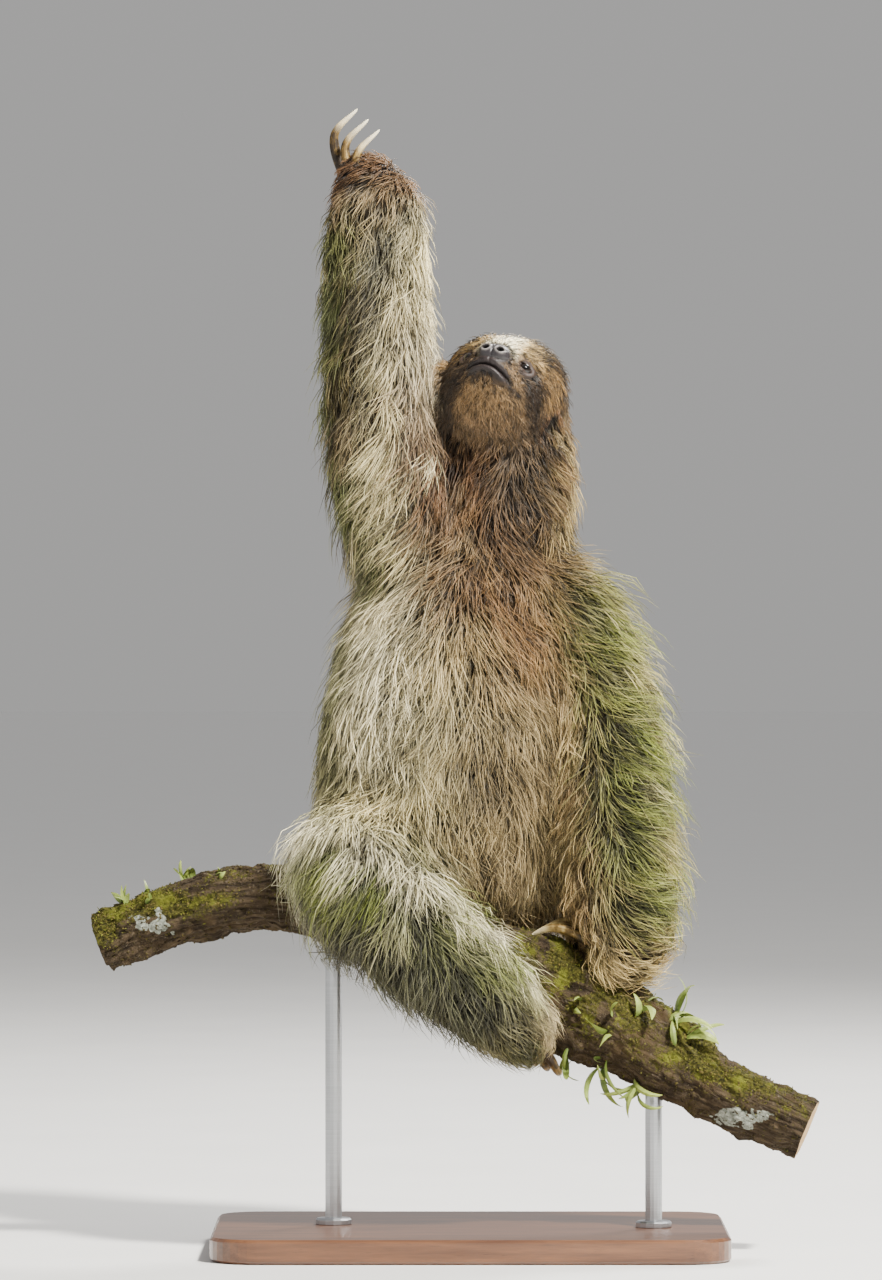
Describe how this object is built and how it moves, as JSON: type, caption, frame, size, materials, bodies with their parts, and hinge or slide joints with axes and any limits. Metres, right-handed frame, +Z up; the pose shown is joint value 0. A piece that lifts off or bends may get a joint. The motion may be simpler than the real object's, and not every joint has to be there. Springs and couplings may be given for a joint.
{
  "type": "three-toed sloth",
  "caption": "Life-size still model of a three-toed sloth sitting upright on a cut length of branch with one arm raised, on a flat base with two short rods.",
  "frame": {"origin": "middle of the underside of the stand's base", "axes": "+Z up, the sloth faces -Y, and its own left side is towards +X"},
  "size_m": [0.5992, 0.3, 0.9365],
  "materials": {
    "fur": "long coarse shaggy hair, cream, tan, brown and rust, with green algae on the left arm",
    "nose": "bare dark grey skin, slightly moist",
    "eye": "wet dark brown eye",
    "claw": "pale horn, stained orange-brown at the root, smooth and slightly glossy",
    "bark": "rough bark with moss and a lichen patch, sawn ends",
    "stand_wood": "dark stained wood with a satin varnish",
    "stand_steel": "brushed round bar"
  },
  "bodies": {
    "root": {"trunk": "fur", "neck": "fur", "tail": "fur", "head": "fur", "ear_left": "fur", "ear_right": "fur", "arm_right_upper": "fur", "arm_right_forearm": "fur", "hand_right": "fur", "arm_left_upper": "fur", "arm_left_forearm": "fur", "hand_left": "fur", "leg_right_thigh": "fur", "leg_right_shank": "fur", "foot_right": "fur", "leg_left_thigh": "fur", "leg_left_shank": "fur", "foot_left": "fur", "nose": "nose", "eye_left": "eye", "eye_right": "eye", "claw_hand_right_1": "claw", "claw_hand_right_2": "claw", "claw_hand_right_3": "claw", "claw_hand_left_1": "claw", "claw_hand_left_2": "claw", "claw_hand_left_3": "claw", "claw_foot_right_1": "claw", "claw_foot_right_2": "claw", "claw_foot_right_3": "claw", "claw_foot_left_1": "claw", "claw_foot_left_2": "claw", "claw_foot_left_3": "claw", "perch": "bark", "stand_base": "stand_wood", "stand_rod_left": "stand_steel", "stand_rod_right": "stand_steel"}
  },
  "joints": []
}
